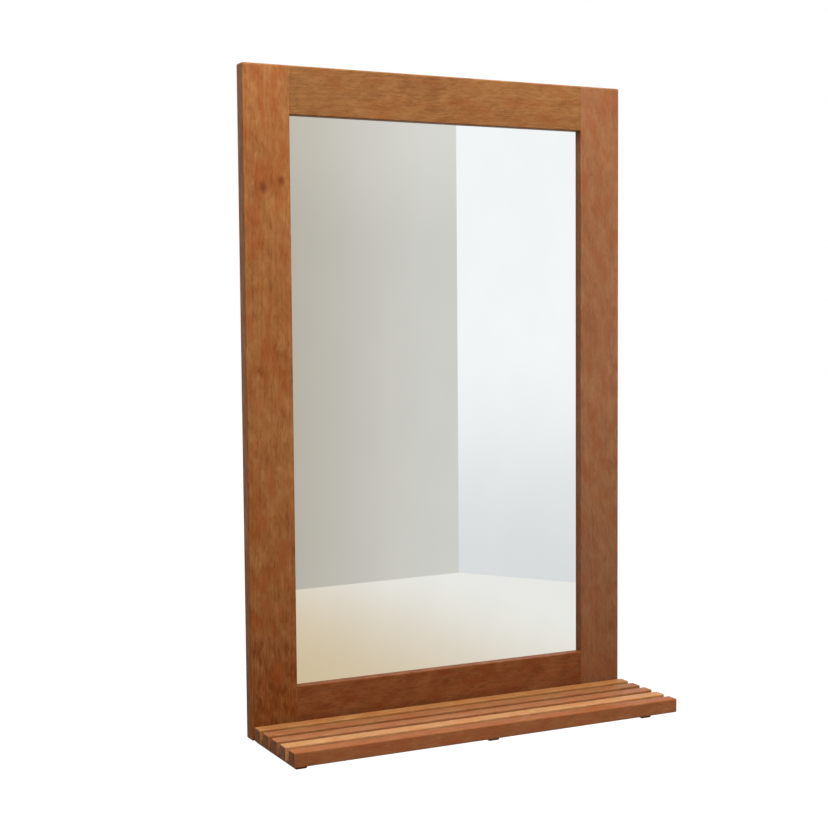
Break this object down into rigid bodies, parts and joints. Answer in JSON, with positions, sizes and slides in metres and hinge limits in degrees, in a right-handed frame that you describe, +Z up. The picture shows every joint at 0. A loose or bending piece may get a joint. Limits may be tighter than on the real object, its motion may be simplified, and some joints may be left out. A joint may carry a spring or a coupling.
{
  "type": "mirror with shelf",
  "caption": "Wall mirror in a jointed hardwood frame with a slatted shelf cross-halved over notched bearers at its foot.",
  "frame": {"origin": "on the wall, at the back face of the top rail, midway between the two wall screws", "axes": "+Z up, +Y into the wall, +X to the right as seen from the room"},
  "size_m": [0.52, 0.154, 0.803],
  "materials": {
    "frame_wood": "oiled",
    "shelf_wood": "oiled",
    "bearer_wood": "oiled",
    "dowel_wood": "raw",
    "silvered_glass": "polished",
    "back_board": "raw fibreboard",
    "zinc_steel": "zinc plated"
  },
  "bodies": {
    "root": {"stile_left": "frame_wood", "stile_right": "frame_wood", "rail_top": "frame_wood", "rail_bottom": "frame_wood", "dowel_top_left_1": "dowel_wood", "dowel_top_left_2": "dowel_wood", "dowel_top_right_1": "dowel_wood", "dowel_top_right_2": "dowel_wood", "dowel_bottom_left_1": "dowel_wood", "dowel_bottom_left_2": "dowel_wood", "dowel_bottom_right_1": "dowel_wood", "dowel_bottom_right_2": "dowel_wood", "mirror_glass": "silvered_glass", "back_panel": "back_board", "hanger_plate_left": "zinc_steel", "hanger_plate_right": "zinc_steel", "slat_1": "shelf_wood", "slat_2": "shelf_wood", "slat_3": "shelf_wood", "slat_4": "shelf_wood", "slat_5": "shelf_wood", "bearer_left": "bearer_wood", "bearer_middle": "bearer_wood", "bearer_right": "bearer_wood", "panel_screw_1": "zinc_steel", "panel_screw_2": "zinc_steel", "panel_screw_3": "zinc_steel", "panel_screw_4": "zinc_steel", "panel_screw_5": "zinc_steel", "panel_screw_6": "zinc_steel", "panel_screw_7": "zinc_steel", "panel_screw_8": "zinc_steel", "panel_screw_9": "zinc_steel", "panel_screw_10": "zinc_steel", "hanger_screw_1": "zinc_steel", "hanger_screw_2": "zinc_steel", "hanger_screw_3": "zinc_steel", "hanger_screw_4": "zinc_steel", "slat_screw_left_1": "zinc_steel", "slat_screw_left_2": "zinc_steel", "slat_screw_left_3": "zinc_steel", "slat_screw_left_4": "zinc_steel", "slat_screw_left_5": "zinc_steel", "slat_screw_middle_1": "zinc_steel", "slat_screw_middle_2": "zinc_steel", "slat_screw_middle_3": "zinc_steel", "slat_screw_middle_4": "zinc_steel", "slat_screw_middle_5": "zinc_steel", "slat_screw_right_1": "zinc_steel", "slat_screw_right_2": "zinc_steel", "slat_screw_right_3": "zinc_steel", "slat_screw_right_4": "zinc_steel", "slat_screw_right_5": "zinc_steel", "bearer_screw_left": "zinc_steel", "bearer_screw_middle": "zinc_steel", "bearer_screw_right": "zinc_steel"}
  },
  "joints": []
}
